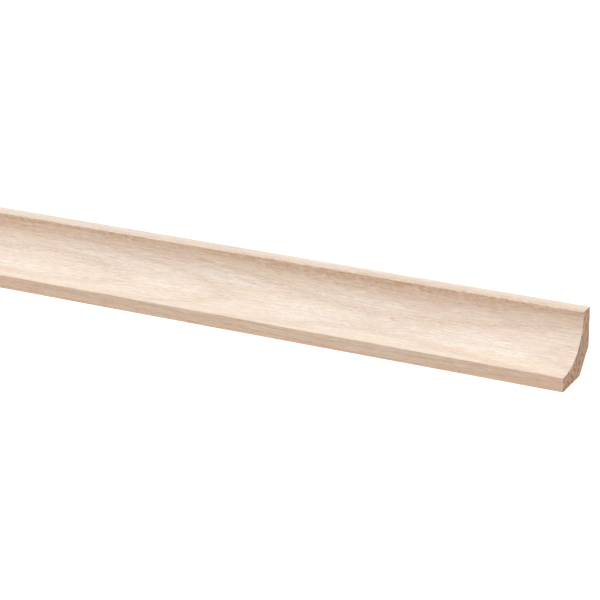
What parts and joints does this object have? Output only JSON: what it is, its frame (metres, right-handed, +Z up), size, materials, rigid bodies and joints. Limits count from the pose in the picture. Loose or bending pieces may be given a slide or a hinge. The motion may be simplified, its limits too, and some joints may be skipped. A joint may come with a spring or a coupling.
{
  "type": "cornice moulding",
  "caption": "Solid wood cornice moulding: a straight length of cove between a flat top lip and a flat front lip, with square backs and a 45 degree relief behind.",
  "frame": {"origin": "centre of the footprint, at the height of the underside that the moulding stands on", "axes": "X runs along the length, -Y is the side that the cove faces, +Y is the back face, +Z is up, out of the flat top lip"},
  "size_m": [2.4, 0.04, 0.038],
  "materials": {
    "planed_wood": "planed, unfinished"
  },
  "bodies": {
    "root": {"cornice_moulding": "planed_wood"}
  },
  "joints": []
}
